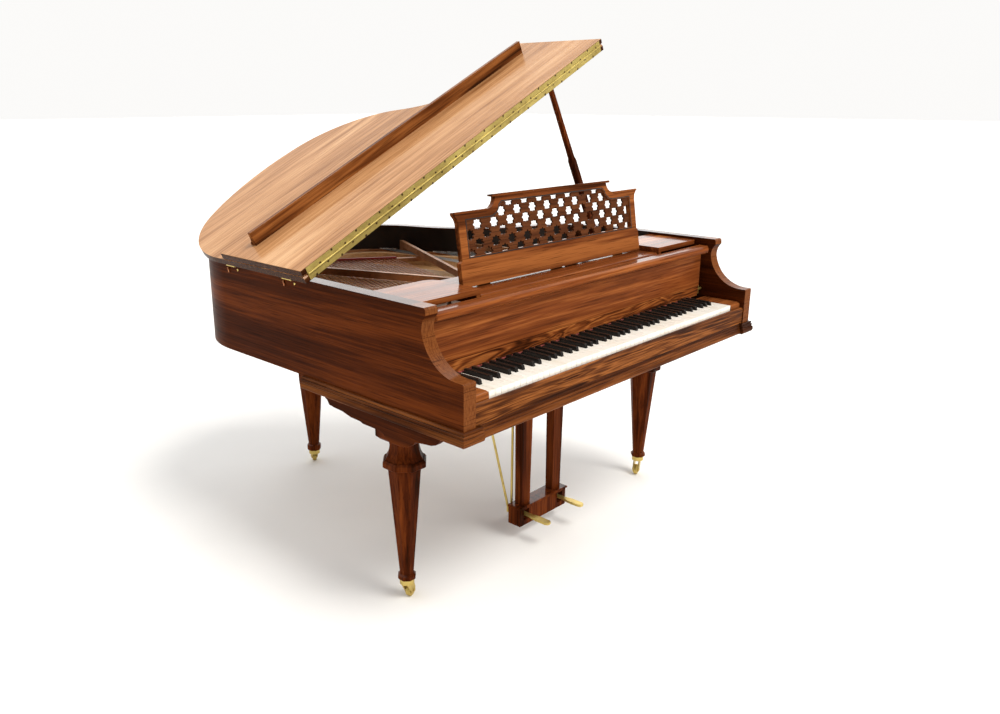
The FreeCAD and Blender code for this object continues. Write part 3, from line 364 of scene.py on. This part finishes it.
MATERIALS = {
    "case": wood("walnut_case_wood", GRAIN_ROUND, (0.016, 0.0034, 0.0008), (0.061, 0.0120, 0.0020),
                 (0.175, 0.038, 0.006), rings=1.6, figure=0.08, bands=1.7, streaks=0.5,
                 edge=((0.082, 0.022, 0.006), (0.23, 0.073, 0.019))),
    "front": wood("walnut_front_wood", GRAIN_X, (0.032, 0.008, 0.0025), (0.185, 0.047, 0.0115),
                  (0.46, 0.155, 0.038), rings=2.4, figure=0.10, bands=1.6,
                  strip=FALLBOARD_SEAM_Z),
    "slip": wood("walnut_slip_wood", GRAIN_X, (0.022, 0.006, 0.002), (0.105, 0.030, 0.007),
                 (0.29, 0.095, 0.022), rings=4.2, figure=0.20, bands=1.1, streaks=1.0, scale=3.4),
    "mould": wood("walnut_moulding_wood", GRAIN_ROUND, (0.018, 0.005, 0.0015),
                  (0.075, 0.020, 0.005), (0.23, 0.072, 0.017), rings=2.0, figure=0.16,
                  bands=1.2, scale=1.6),
    "desk": wood("walnut_desk_wood", GRAIN_X, (0.030, 0.008, 0.0025), (0.150, 0.039, 0.010),
                 (0.32, 0.102, 0.026), rings=2.6, figure=0.16, bands=1.3, scale=1.3),
    "lid": wood("walnut_lid_wood", GRAIN_X, (0.26, 0.105, 0.034), (0.56, 0.285, 0.125),
                (0.78, 0.47, 0.245), rings=1.6, figure=0.10, bands=1.4, streaks=0.7,
                turn=LID_ANGLE, rough=0.30, coat=0.30, spec=0.04,
                rim=((0.013, 0.0035, 0.0015), (0.050, 0.014, 0.0045))),
    "bar": wood("walnut_bar_wood", GRAIN_X, (0.030, 0.009, 0.003), (0.135, 0.040, 0.010),
                (0.32, 0.115, 0.030), rings=3.0, figure=0.25, turn=LID_ANGLE, scale=1.5),
    "upright": wood("walnut_leg_wood", GRAIN_Z, (0.017, 0.004, 0.001), (0.068, 0.0125, 0.0028),
                    (0.20, 0.045, 0.009), rings=2.0, figure=0.12, bands=1.5, scale=1.6),
    "dark": wood("walnut_dark_wood", GRAIN_X, (0.018, 0.006, 0.0025), (0.060, 0.018, 0.007),
                 (0.135, 0.044, 0.015), rings=2.0, figure=0.14, rough=0.45, coat=0.05),
    "maple": wood("maple_wood", GRAIN_X, (0.30, 0.17, 0.075), (0.52, 0.34, 0.18),
                  (0.66, 0.47, 0.28), rings=1.2, figure=0.05, bands=0.8, coat=0.1, rough=0.5),
    "spruce": wood("spruce_wood", GRAIN_Y, (0.34, 0.17, 0.06), (0.58, 0.36, 0.17),
                   (0.72, 0.50, 0.28), rings=1.2, figure=0.10, bands=0.8, coat=0.2,
                   rough=0.42, scale=2.2),
    "lining": lacquer("black_lining", (0.010, 0.008, 0.007), (0.028, 0.022, 0.018)),
    "bronze": metal("bronzed_iron", (0.20, 0.085, 0.035), (0.46, 0.24, 0.11), 0.42, 5.0,
                    (0.10, 0.040, 0.018), level=0.45),
    "brass": metal("aged_brass", (0.50, 0.36, 0.095), (0.78, 0.60, 0.19), 0.36, 8.0,
                   (0.34, 0.22, 0.06), level=0.85),
    "hinge": metal("hinge_brass", (0.34, 0.25, 0.065), (0.54, 0.42, 0.12), 0.55, 14.0,
                   (0.20, 0.14, 0.04), level=0.6),
    "screws": metal("old_screws", (0.05, 0.03, 0.012), (0.20, 0.13, 0.05), 0.42, 60.0),
    "steel": metal("blued_steel", (0.34, 0.33, 0.32), (0.62, 0.60, 0.57), 0.28, 20.0,
                   (0.16, 0.12, 0.09)),
    "copper": wound(),
    "red": felt("red_felt", (0.16, 0.010, 0.008), (0.42, 0.035, 0.025)),
    "white": felt("white_felt", (0.50, 0.47, 0.40), (0.78, 0.75, 0.67)),
    "ivory": ivory(),
    "ebony": ebony(),
}


# ------------------------------------------------------------------ the CAD nodes
LOOKS = {
    "outer_rim": "case", "left_apron": "case", "right_apron": "case", "inner_rim": "lining",
    "key_bed": "dark", "base_mouldings": "mould", "back_beams": "spruce", "soundboard": "spruce",
    "soundboard_ribs": "spruce", "bridges": "maple", "iron_plate": "bronze", "pin_block": "maple",
    "tuning_pins": "steel", "bass_strings": "copper", "treble_strings": "steel", "string_felt": "red",
    "key_slip": "slip", "key_blocks": "desk", "key_frame": "spruce", "action_frame": "maple",
    "hammers": "white", "dampers": "dark", "fallboard": "front", "fallboard_pivots": "brass",
    "shelf_boards": "front", "desk_tray": "front", "desk_frame": "desk", "desk_fret_panel": "desk",
    "desk_hinges": "brass", "desk_strut": "dark", "main_lid": "lid", "lid_flap": "lid",
    "lid_lip_bar": "bar", "hinge_leaf_main": "hinge", "hinge_leaf_flap": "hinge",
    "spine_hinges": "brass", "lid_brackets": "brass", "lid_prop": "upright", "left_leg": "upright",
    "right_leg": "upright", "back_leg": "upright", "lyre": "upright", "left_pedal": "brass",
    "right_pedal": "brass", "left_rod": "brass", "right_rod": "brass", "lyre_brace": "brass",
}
for letter in "abcd":
    LOOKS["naturals_" + letter] = "ivory"
for letter in "abc":
    LOOKS["sharps_" + letter] = "ebony"
for side in ("left", "right", "back"):
    LOOKS[side + "_caster_fork"] = "brass"
    LOOKS[side + "_caster_wheel"] = "brass"

SOFTENED = {
    "outer_rim": 1.4, "base_mouldings": 0.7, "left_apron": 1.0, "right_apron": 1.0, "key_slip": 0.9,
    "key_blocks": 0.9, "fallboard": 1.0, "shelf_boards": 1.0, "desk_tray": 0.8, "desk_frame": 0.9,
    "main_lid": 1.4, "lid_flap": 1.4, "lid_lip_bar": 1.0, "lid_prop": 0.8, "left_leg": 1.0,
    "right_leg": 1.0, "back_leg": 1.0, "lyre": 1.0, "iron_plate": 1.6, "key_bed": 0.8,
    "back_beams": 1.2, "inner_rim": 0.8, "desk_strut": 0.6, "left_pedal": 0.8, "right_pedal": 0.8,
    "bridges": 0.8, "soundboard_ribs": 0.8, "pin_block": 0.8, "action_frame": 0.8, "key_frame": 0.8,
    "hammers": 1.0,
}


def round_edges(thing, width):
    """Rounded edges and even shading, as modifiers."""
    edge = thing.modifiers.new("edges", "BEVEL")
    edge.width = width / 1000
    edge.segments = 2
    edge.limit_method = "ANGLE"
    edge.angle_limit = ROUND_ABOVE
    shade = thing.modifiers.new("shade", "WEIGHTED_NORMAL")
    shade.weight = 60


def soften(thing, width):
    """The same on a CAD mesh, whose faces don't share their corners."""
    weld = thing.modifiers.new("weld", "WELD")
    weld.merge_threshold = 0.00002
    round_edges(thing, width)


for node_name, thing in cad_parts.items():
    look = MATERIALS[LOOKS[node_name]]
    for slot in thing.material_slots:
        slot.material = look
    if node_name in SOFTENED:
        soften(thing, SOFTENED[node_name])
    elif node_name.startswith("naturals"):
        soften(thing, 0.7)
    elif node_name.startswith("sharps"):
        soften(thing, 1.3)


# ------------------------------------------------------------------ building pieces
class Shape:
    """Collects mesh parts, in metres, into one object."""

    def __init__(self):
        self.points = []
        self.faces = []

    def grid(self, rows, close_rows=False, caps=False):
        """A skin over closed rows of points, each row with the same count."""
        start = len(self.points)
        wide = len(rows[0])
        for row in rows:
            self.points.extend(row)
        last = len(rows) if close_rows else len(rows) - 1
        for i in range(last):
            for j in range(wide):
                a = start + i * wide + j
                b = start + i * wide + (j + 1) % wide
                c = start + (i + 1) % len(rows) * wide + (j + 1) % wide
                d = start + (i + 1) % len(rows) * wide + j
                self.faces.append((a, b, c, d))
        if caps:
            self.faces.append(tuple(start + j for j in reversed(range(wide))))
            self.faces.append(tuple(start + (len(rows) - 1) * wide + j for j in range(wide)))

    def turned(self, foot, axis, profile, sides=12):
        """A turned form: profile is (distance along the axis, radius)."""
        axis = axis.normalized()
        u = axis.orthogonal().normalized()
        v = axis.cross(u)
        rows = []
        for along, radius in profile:
            ring = []
            for n in range(sides):
                a = 2 * math.pi * (n + 0.5) / sides
                ring.append(foot + axis * along / 1000
                            + (u * math.cos(a) + v * math.sin(a)) * radius / 1000)
            rows.append(ring)
        self.grid(rows, caps=True)

    def tube(self, path, radius, sides=6):
        """A wire along a path of points."""
        rows = []
        for i, point in enumerate(path):
            ahead = path[min(i + 1, len(path) - 1)] - path[max(i - 1, 0)]
            ahead.normalize()
            u = Vector((0, 0, 1)).cross(ahead)
            if u.length < 0.01:
                u = Vector((1, 0, 0))
            u.normalize()
            v = ahead.cross(u)
            rows.append([point + (u * math.cos(2 * math.pi * n / sides)
                                  + v * math.sin(2 * math.pi * n / sides)) * radius / 1000
                         for n in range(sides)])
        self.grid(rows, caps=True)

    def make(self, name, material, body, slot, smooth=True, bevel=0.0):
        mesh = bpy.data.meshes.new(name)
        mesh.from_pydata([tuple(p) for p in self.points], [], self.faces)
        work = bmesh.new()
        work.from_mesh(mesh)
        bmesh.ops.recalc_face_normals(work, faces=work.faces)
        work.to_mesh(mesh)
        work.free()
        mesh.materials.append(MATERIALS[material])
        thing = bpy.data.objects.new(name, mesh)
        bpy.context.scene.collection.objects.link(thing)
        for face in mesh.polygons:
            face.use_smooth = smooth
        if bevel:
            round_edges(thing, bevel)
        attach(thing, body)
        return thing


def band(name, loop_out, loop_in, z0, z1, material, body, slot):
    """An upright strip between two open lines on plan."""
    shape = Shape()
    rows = [[spot(ax, ay, z0), spot(ax, ay, z1), spot(bx, by, z1), spot(bx, by, z0)]
            for (ax, ay), (bx, by) in zip(loop_out, loop_in)]
    shape.grid(rows, caps=True)
    shape.make(name, material, body, slot, bevel=0.3)


# ------------------------------------------------------------------ inside the case
def from_behind_shelf(loop, y):
    """Cuts both ends of an outline off at a given y."""
    kept = [p for p in loop if p[1] > y]
    return [(loop[0][0], y)] + kept + [(loop[-1][0], y)]


band("rim_lining", from_behind_shelf(outline(RIM + 0.05), 392),
     from_behind_shelf(outline(RIM + 1.6), 392), 825.0, 911.0, "lining", "case", "black_inner")


def fan(first, last, count):
    """Evenly spread runs, each (x at the front bar, far x, far y)."""
    return [[a + (b - a) * n / (count - 1) for a, b in zip(first, last)] for n in range(count)]


def cross_hitch(front_x, far_x, far_y):
    """Where a bass string meets the middle of its hitch beam."""
    (ax, ay), (bx, by) = HITCH
    dx, dy = far_x - front_x, far_y - BAR_Y
    ex, ey = bx - ax, by - ay
    t = ((ax - front_x) * ey - (ay - BAR_Y) * ex) / (dx * ey - dy * ex)
    return front_x + dx * t, BAR_Y + dy * t


def last_inside(loop, front_x, far_x, far_y):
    """How far a string can run before it reaches the hitch rail, by halving."""
    low, high = 0.0, 1.6
    for _ in range(26):
        t = (low + high) / 2
        if inside(loop, front_x + (far_x - front_x) * t, BAR_Y + (far_y - BAR_Y) * t):
            low = t
        else:
            high = t
    return front_x + (far_x - front_x) * low, BAR_Y + (far_y - BAR_Y) * low


bass_runs = fan((-626, -372, 1208), (-240, -45, 993), 27)
treble_runs = (fan((-160, -394, 1337), (-10, -244, 1337), 12)
               + fan((76, 76, 1215), (106, 106, 1215), 5)
               + fan((150, 172, 1150), (318, 228, 1075), 13)
               + fan((342, 262, 1040), (508, 488, 790), 15)
               + fan((532, 520, 745), (616, 608, 640), 15))
hitch_loop = outline(HITCH_INSET)
bass_wires, steel_wires, pins, hitches = Shape(), Shape(), Shape(), Shape()


def string_set(front_x, far_x, far_y, z, count, gap, radius, shape, index, bass):
    """The unison strings of one note, from their tuning pins to their hitch pins."""
    reach = far_y - BAR_Y
    slope = (far_x - front_x) / reach
    for n in range(count):
        x = front_x + (n - (count - 1) / 2) * gap
        if bass:
            ex, ey = cross_hitch(x, x + slope * reach, far_y)
        else:
            ex, ey = last_inside(hitch_loop, x, x + slope * reach, far_y)
            hx, hy = cross_hitch(x, x + slope * reach, far_y)
            if x < 0 and hy < ey:
                ex, ey = hx - slope * 13, hy - 13
        py = PIN_ROW_Y + PIN_ROW_STEP * ((index * count + n) % 8)
        px = x + slope * (py - BAR_Y)
        shape.tube([spot(px + 3.2, py, z), spot(px + 3.2 + slope * 20, py + 14, z),
                    spot(x, BAR_Y - 2, z), spot(ex, ey, z)], radius)
        pins.turned(spot(px, py, 824.5), Vector((0, -0.10, 1)),
                    [(0, 3.1), (12, 3.1), (12.4, 3.5), (13.6, 3.5), (14, 3.1), (15, 3.5),
                     (16.2, 3.5), (16.6, 3.0), (19, 2.9)], 8)
        pins.turned(spot(px, py - 1.9, 843.5), Vector((0, -0.10, 1)),
                    [(0, 2.7), (6.4, 2.3), (7, 1.8)], 4)
        hitches.turned(spot(ex, ey + 2.4, z - 4), Vector((0, 0.12, 1)),
                       [(0, 1.5), (6.5, 1.5), (7.2, 1.0)], 8)


for i, run in enumerate(bass_runs):
    string_set(*run, BASS_Z, 1 if i < 8 else 2, 3.6, 1.35 - 0.018 * i, bass_wires, i, True)
for i, run in enumerate(treble_runs):
    string_set(*run, TREBLE_Z, 3, 2.3, 0.5, steel_wires, i, False)
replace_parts(bass_wires.make("wound_bass_strings", "copper", "case", "copper_wound"),
            "bass_strings")
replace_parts(steel_wires.make("steel_treble_strings", "steel", "case", "steel"),
            "treble_strings")
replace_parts(pins.make("wrest_pins", "steel", "case", "steel"), "tuning_pins")
hitches.make("hitch_pins", "steel", "case", "steel")


# ------------------------------------------------------------------ hinge, desk and keyboard trim
def screw(shape, slot_shades, place, out, along):
    """A domed screw head standing out of a leaf, crossed by a black bar: painted shade where its slot
    would lie in shadow.
    """
    radius = 3.9
    shape.turned(place, out, [(0, radius), (0.35, radius), (0.75, radius * 0.82),
                              (1.0, radius * 0.4), (1.05, 0.05)], 14)
    across = out.cross(along)
    rows = []
    for end in (-1, 1):
        tip = place + along * end * radius * 0.86 / 1000
        rows.append([tip + across * a * 0.0003 + out * b / 1000
                     for a, b in ((-1, 0.55), (1, 0.55), (1, 1.12), (-1, 1.12))])
    slot_shades.grid(rows, caps=True)


for body, low, high, first in (("lid_body", 920.0, 931.0, 0.0),
                               ("flap_body", 941.5, 952.5, 24.0)):
    heads, slot_shades = Shape(), Shape()
    for n in range(29):
        x = -692 + first + n * SCREW_PITCH
        z = (low, high)[n % 2]
        if x > 708:
            continue
        lengthwise = (on_lid(x + 1, 0, z) - on_lid(x, 0, z)).normalized()
        turn = Matrix.Rotation(0.7 * n, 3, (0, 1, 0))
        screw(heads, slot_shades, on_lid(x, HINGE_Y + 0.2, z), Vector((0, -1, 0)), turn @ lengthwise)
    heads.make("hinge_screws_" + body, "screws", body, "brass")
    # The slot bars are black: painted shade for the shadow inside each screw slot.
    slot_shades.make("hinge_slot_shades_" + body, "lining", body, "black_inner", smooth=False)


def block(shape, low, high):
    """A rectangular bar between two corners, ready for its edges to be rounded."""
    (x0, y0, z0), (x1, y1, z1) = low, high
    shape.grid([[spot(x, y0, z0), spot(x, y1, z0), spot(x, y1, z1), spot(x, y0, z1)]
                for x in (x0, x1)], caps=True)


# The prop's fork on the treble side, and the studs and pins by the two bass hinges.
bracket = Shape()
block(bracket, (669, 582, 867), (677.9, 618, 893))
for y in (580.5, 614.5):
    rows = []
    for x, half in ((624.5, 5.0), (628, 9.0), (634, 11.5), (645, 12.5), (672, 12.5)):
        rows.append([spot(x, y, 880 - half), spot(x, y + 5, 880 - half),
                     spot(x, y + 5, 880 + half), spot(x, y, 880 + half)])
    bracket.grid(rows, caps=True)
bracket.turned(spot(636, 579.6, 880), Vector((0, 1, 0)),
               [(0, 0.6), (0.3, 5.2), (1.6, 5.2), (2, 4), (38.5, 4), (39, 5.2), (40.3, 5.2),
                (40.6, 0.6)], 16)
pull_pins = Shape()
for y in (665, 948):
    bracket.turned(spot(-719.6, y - 26, 899.0), Vector((-1, 0, 0)),
                   [(0, 3.6), (0.9, 3.6), (1.5, 2.8), (1.8, 0.8)], 12)
    pull_pins.turned(spot(-721.4, y + 20, 886.0), Vector((-0.10, 0.22, 1.0)),
                     [(0, 0.8), (0.8, 2.3), (16.0, 2.3), (16.8, 1.0)], 10)
pull_pins.make("spine_hinge_pins", "copper", "case", "brass")
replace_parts(bracket.make("prop_fork_and_studs", "brass", "case", "brass", bevel=0.5),
            "lid_brackets")

# The opening in the music desk, as (x, up the desk): a straight foot and a stepped head.
window = [(296 - 44 * math.sin(a), 212 - 36 * math.cos(a)) for a in (0.0, 0.35, 0.7, 1.05, 1.4)]
window = [(392.0, 78.0), (392.0, 176.0)] + window + [(243.0, 214.0)]
window = window + [(-x, z) for x, z in reversed(window)]


def offset(loop, size):
    """A closed (x, z) loop moved outwards."""
    moved = []
    for i, (x, z) in enumerate(loop):
        ax, az = loop[i - 1]
        bx, bz = loop[(i + 1) % len(loop)]
        before = Vector((x - ax, z - az)).normalized()
        after = Vector((bx - x, bz - z)).normalized()
        normal = Vector((before.y, -before.x)) + Vector((after.y, -after.x))
        normal = normal / max(0.6, normal.length_squared / 2)
        moved.append((x + normal.x * size, z + normal.y * size))
    return moved


def window_line(name, inner, outer, back, front, material, slot):
    """A moulded line round the window of the desk."""
    shape = Shape()
    middle = [((a + c) / 2, (b + d) / 2) for (a, b), (c, d) in zip(inner, outer)]
    rows = []
    for (ax, az), (mx, mz), (bx, bz) in zip(inner, middle, outer):
        rows.append([on_desk(ax, back, az), on_desk(ax, front - 0.3, az), on_desk(mx, front, mz),
                     on_desk(bx, front - 0.3, bz), on_desk(bx, back, bz)])
    shape.grid(rows, close_rows=True)
    shape.make(name, material, "desk_body", slot, smooth=False)


window_line("desk_window_line", offset(window, 1.0), offset(window, 4.2), 18.7, 19.7, "lining",
            "black_inner")


def fret_panel():
    """The pierced panel, its edges let into the frame: staggered rows of lobed holes."""
    hidden = []
    for x, z in window:
        across = 14.0 if abs(x) > 390 else (9.0 if z > 170 else 0.0)
        hidden.append((math.copysign(abs(x) + across, x), z - 13.5 if z < 100 else z + 18.5))
    curve = bpy.data.curves.new("fret", "CURVE")
    curve.dimensions = "2D"
    curve.fill_mode = "BOTH"
    curve.extrude = 0.0028
    curve.bevel_depth = 0.0003

    def loop(points):
        line = curve.splines.new("POLY")
        line.points.add(len(points) - 1)
        for point, (x, z) in zip(line.points, points):
            point.co = (x / 1000, z / 1000, 0.0, 1.0)
        line.use_cyclic_u = True

    loop(hidden)
    pitch, rise, corners = 69.0, 26.5, 48
    for row in range(6):
        z = 83 + row * rise
        for n in range(-6, 7):
            x = n * pitch + (0 if row % 2 else pitch / 2)
            hole = []
            for k in range(corners):
                a = 2 * math.pi * k / corners
                lobe = 0.88 + 0.12 * math.cos(8 * a)
                hole.append((x + 19.2 * lobe * math.cos(a), z + 16.4 * lobe * math.sin(a)))
            if all(inside(hidden, *p) for p in hole):
                loop(hole)
    flat = bpy.data.objects.new("fret", curve)
    bpy.context.scene.collection.objects.link(flat)
    bpy.context.view_layer.update()
    solid = flat.evaluated_get(bpy.context.evaluated_depsgraph_get())
    mesh = bpy.data.meshes.new_from_object(solid)
    bpy.data.objects.remove(flat)
    lean = Matrix.Rotation(math.pi / 2 - DESK_LEAN, 4, "X")
    mesh.transform(Matrix.Translation(on_desk(0, 12.0, 0)) @ lean)
    mesh.materials.clear()
    mesh.materials.append(MATERIALS["dark"])
    mesh.name = "fret_panel"
    panel = bpy.data.objects.new("fret_panel", mesh)
    bpy.context.scene.collection.objects.link(panel)
    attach(panel, "desk_body")
    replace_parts(panel, "desk_fret_panel")


fret_panel()

felt_section = ((166.4, 711.4), (166.0, 713.0), (167.4, 713.95), (175.0, 713.95), (175.6, 712.6),
                (174.6, 711.4))
strip = Shape()
strip.grid([[spot(x, y, z) for y, z in felt_section] for x in (-612, -300, 0, 300, 612)],
           caps=True)
strip.make("name_board_felt", "red", "fallboard_body", "red_felt", smooth=False)


# ------------------------------------------------------------------ studio
def area(name, place, target, size, power, colour):
    """A rectangular lamp that faces a point."""
    light = bpy.data.lights.new(name, "AREA")
    light.shape = "RECTANGLE"
    light.size, light.size_y = size
    light.energy = power
    light.color = colour
    lamp = bpy.data.objects.new(name, light)
    lamp.location = place
    lamp.rotation_euler = (Vector(target) - Vector(place)).to_track_quat("-Z", "Y").to_euler()
    bpy.context.scene.collection.objects.link(lamp)


def glow(tree, place, direction, steps):
    """Light that rises smoothly towards one direction of the room.  steps is the cosine
    where it starts, the cosine where it is full, and the strength at each."""
    toward = tree.nodes.new("ShaderNodeVectorMath")
    toward.operation = "DOT_PRODUCT"
    toward.inputs[1].default_value = Vector(direction).normalized()
    tree.links.new(place.outputs["Generated"], toward.inputs[0])
    rise = tree.nodes.new("ShaderNodeMapRange")
    rise.interpolation_type = "SMOOTHSTEP"
    for socket, value in zip(list(rise.inputs)[1:5], steps):
        socket.default_value = value
    tree.links.new(toward.outputs["Value"], rise.inputs["Value"])
    return rise.outputs[0]


def studio():
    """A pale room with a window behind the piano, a soft sun, one panel and a white floor."""
    world = bpy.data.worlds.new("pale_room")
    bpy.context.scene.world = world
    world.use_nodes = True
    tree = world.node_tree
    place = tree.nodes.new("ShaderNodeTexCoord")
    room = glow(tree, place, (0.30, 0.62, 0.72), (-0.6, 0.95, 0.22, 1.15))
    pane = glow(tree, place, (0.69, 0.66, 0.22), (0.93, 0.985, 0.0, 1.3))
    total = tree.nodes.new("ShaderNodeMath")
    tree.links.new(room, total.inputs[0])
    tree.links.new(pane, total.inputs[1])
    seen = tree.nodes.new("ShaderNodeLightPath")
    pick = tree.nodes.new("ShaderNodeMix")
    tree.links.new(seen.outputs["Is Camera Ray"], pick.inputs[0])
    tree.links.new(total.outputs[0], pick.inputs[2])
    pick.inputs[3].default_value = 0.97
    tree.links.new(pick.outputs[0], tree.nodes["Background"].inputs["Strength"])
    tree.nodes["Background"].inputs["Color"].default_value = (1.0, 0.99, 0.975, 1.0)
    sun = bpy.data.lights.new("window_light", "SUN")
    sun.energy = 2.1
    sun.angle = math.radians(24)
    sun.color = (1.0, 0.97, 0.92)
    lamp = bpy.data.objects.new("window_light", sun)
    lamp.rotation_euler = Vector((-0.10, 0.62, -1.0)).to_track_quat("-Z", "Y").to_euler()
    bpy.context.scene.collection.objects.link(lamp)
    area("front_panel", (0.6, -4.2, 2.4), (0.0, 0.0, 0.8), (3.0, 1.6), 60, (1.0, 0.96, 0.90))
    floor = bpy.data.meshes.new("floor")
    floor.from_pydata([(-60, -60, 0), (60, -60, 0), (60, 60, 0), (-60, 60, 0)], [],
                      [(0, 1, 2, 3)])
    ground = bpy.data.objects.new("floor", floor)
    ground.location.z = -0.0005
    bpy.context.scene.collection.objects.link(ground)
    s = Sheet("floor_paint")
    cloud = s.span(s.noise(s.here, 3.0, 4.0), 0.3, 0.7)
    tone = s.mix(cloud, (0.90, 0.90, 0.89), (0.93, 0.93, 0.92))
    floor.materials.append(s.finish(tone, 0.9))


def camera():
    data = bpy.data.cameras.new("view")
    data.lens = 30.748
    data.sensor_width = 36.0
    data.shift_x = 0.0385
    data.shift_y = -0.00925
    data.clip_end = 200.0
    thing = bpy.data.objects.new("view", data)
    thing.location = (-2.0596, -1.9591, 1.3863)
    thing.rotation_euler = (math.radians(90 - 16.294), 0.0, math.radians(-46.259))
    bpy.context.scene.collection.objects.link(thing)
    bpy.context.scene.camera = thing
    bpy.context.scene.view_settings.view_transform = "Standard"


studio()
camera()

bpy.context.view_layer.update()
